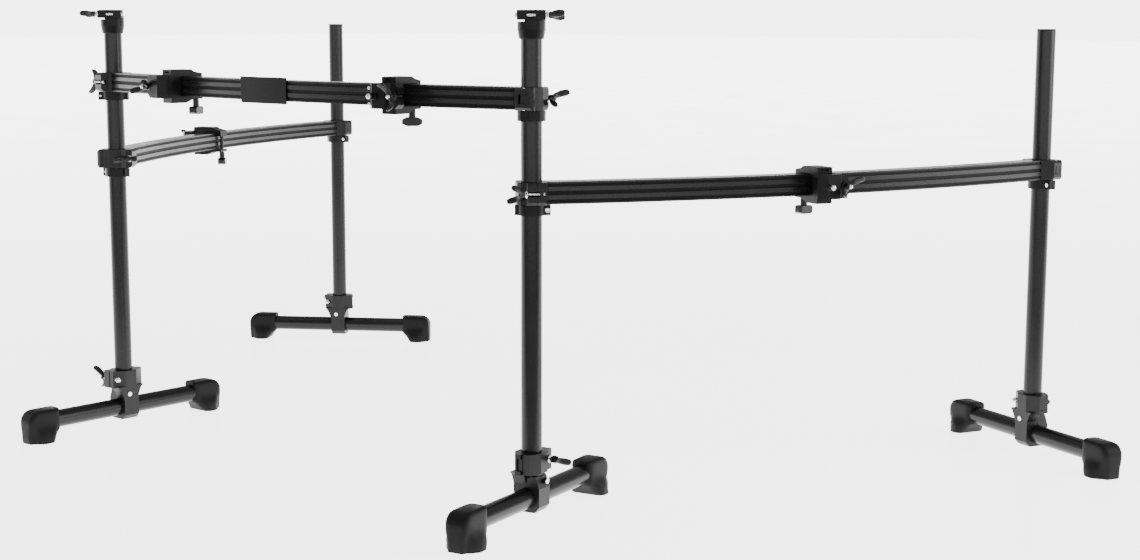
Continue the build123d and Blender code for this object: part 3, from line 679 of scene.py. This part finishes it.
def brightness_towards(s, where, low, high, dim, bright):
    """A brightness that rises along the camera's horizontal view direction."""
    dot = s.add("ShaderNodeVectorMath", {0: where, 1: (forward.x, forward.y, 0.0)}, operation="DOT_PRODUCT")
    node = s.add("ShaderNodeMapRange", {"Value": dot.outputs["Value"], "From Min": low, "From Max": high,
                                        "To Min": dim, "To Max": bright}, interpolation_type="SMOOTHSTEP")
    return node.outputs["Result"]


def glowing_floor_material():
    mat, s, main = new_material("floor_white")
    tone = s.noise(1.7, 3.0)
    base = s.mix(s.ramp(tone, 0.3, 0.7, 0.0, 1.0), (0.80, 0.80, 0.80), (0.79, 0.79, 0.79))
    s.links.new(base, main["Base Color"])
    s.links.new(s.ramp(tone, 0.3, 0.7, 0.15, 0.19), main["Roughness"])
    # Painted light: the floor glows, dim between the rack and the camera, bright from just before the rack
    # outward under and beyond it, and bright again behind the camera.
    main["Emission Color"].default_value = (1, 1, 1, 1)
    where = s.add("ShaderNodeTexCoord").outputs["Object"]
    ahead = brightness_towards(s, where, -0.98, -0.66, 0.01, FLOOR_GLOW)
    behind = brightness_towards(s, where, -9.0, -3.0, FLOOR_GLOW_BEHIND, 0.0)
    s.links.new(s.math("ADD", ahead, behind), main["Emission Strength"])
    return mat


floor_mesh = bpy.data.meshes.new("floor")
corners = [(x * FLOOR_HALF, y * FLOOR_HALF, 0) for x, y in ((-1, -1), (1, -1), (1, 1), (-1, 1))]
floor_mesh.from_pydata(corners, [], [(0, 1, 2, 3)])
floor = bpy.data.objects.new("floor", floor_mesh)
bpy.context.scene.collection.objects.link(floor)
floor.location = MIDDLE + Vector((0, 0, -FLOOR_DROP))
floor_mesh.materials.append(glowing_floor_material())

world = bpy.data.worlds.new("studio")
bpy.context.scene.world = world
world.use_nodes = True
sky = Shader(world.node_tree)
direction = sky.add("ShaderNodeTexCoord").outputs["Generated"]
background = world.node_tree.nodes["Background"]
background.inputs[0].default_value = (1.0, 1.0, 1.0, 1.0)
split = sky.add("ShaderNodeSeparateXYZ", {0: direction})
low_band = sky.ramp(split.outputs["Z"], 0.04, 0.14, 1.0, 0.0)
ahead = brightness_towards(sky, direction, 0.1, 0.8, 0.0, SKY_GLOW - SKY_DIM)
behind = brightness_towards(sky, direction, -0.95, -0.25, SKY_BEHIND, 0.0)
glow = sky.math("ADD", sky.math("MULTIPLY", low_band, sky.math("ADD", ahead, behind)), SKY_DIM)
sky.links.new(glow, background.inputs[1])


def soft_light(name, place, aim, size, power):
    data = bpy.data.lights.new(name, "AREA")
    data.shape = "RECTANGLE"
    data.size, data.size_y = size
    data.energy = power
    obj = bpy.data.objects.new(name, data)
    bpy.context.scene.collection.objects.link(obj)
    obj.location = MIDDLE + Vector(place)
    obj.rotation_euler = (MIDDLE + Vector(aim) - obj.location).to_track_quat("-Z", "Y").to_euler()
    return obj


def around_camera(angle, distance, height):
    """A place round the rack, angle degrees to the right of the line to the camera."""
    a = math.radians(angle)
    side = -forward * math.cos(a) + level * math.sin(a)
    return (side.x * distance, side.y * distance + 0.4, height)


# Each light: where it stands, what it faces, its width and height, all in metres, and its power in watts.
soft_light("top_soft", (0.0, 0.4, 3.4), (0, 0.5, 0), (3.6, 2.6), 30)
soft_light("right_soft", (3.1, 1.9, 1.5), (0.5, 0.4, 0.6), (1.5, 2.2), 80)
soft_light("left_soft", (-3.2, -1.0, 1.5), (0, 0.4, 0.7), (1.2, 2.2), 25)
soft_light("front_strip", around_camera(28, 3.6, 2.3), (0, 0.4, 0.9), (0.35, 1.6), 18)
soft_light("camera_fill", around_camera(-12, 4.6, 2.6), (0, 0.3, 0.8), (2.4, 1.2), 12)
